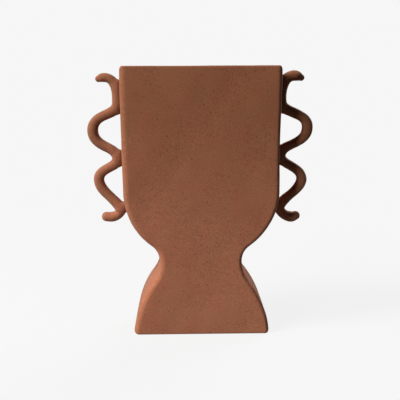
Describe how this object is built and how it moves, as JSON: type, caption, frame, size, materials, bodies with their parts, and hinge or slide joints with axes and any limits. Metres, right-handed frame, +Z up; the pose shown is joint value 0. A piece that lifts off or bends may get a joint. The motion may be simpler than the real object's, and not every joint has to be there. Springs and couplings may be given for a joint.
{
  "type": "flat vase",
  "caption": "Flat slab-built stoneware vase with a full-width mouth, a rounded bowl over a narrow neck and flared foot, and a wavy hand-rolled coil handle down each side.",
  "frame": {"origin": "on the table, under the middle of the vase", "axes": "+Z up through the mouth, the flat front face looks along -Y, +X to the right of the front face"},
  "size_m": [0.2502, 0.064, 0.3],
  "materials": {
    "stoneware": "matte, unglazed, finely speckled",
    "coil_stoneware": "matte, unglazed, smoothed by hand"
  },
  "bodies": {
    "root": {"front_slab": "stoneware", "back_slab": "stoneware", "left_side_strip": "stoneware", "right_side_strip": "stoneware", "floor_slab": "stoneware", "left_handle": "coil_stoneware", "right_handle": "coil_stoneware"}
  },
  "joints": []
}
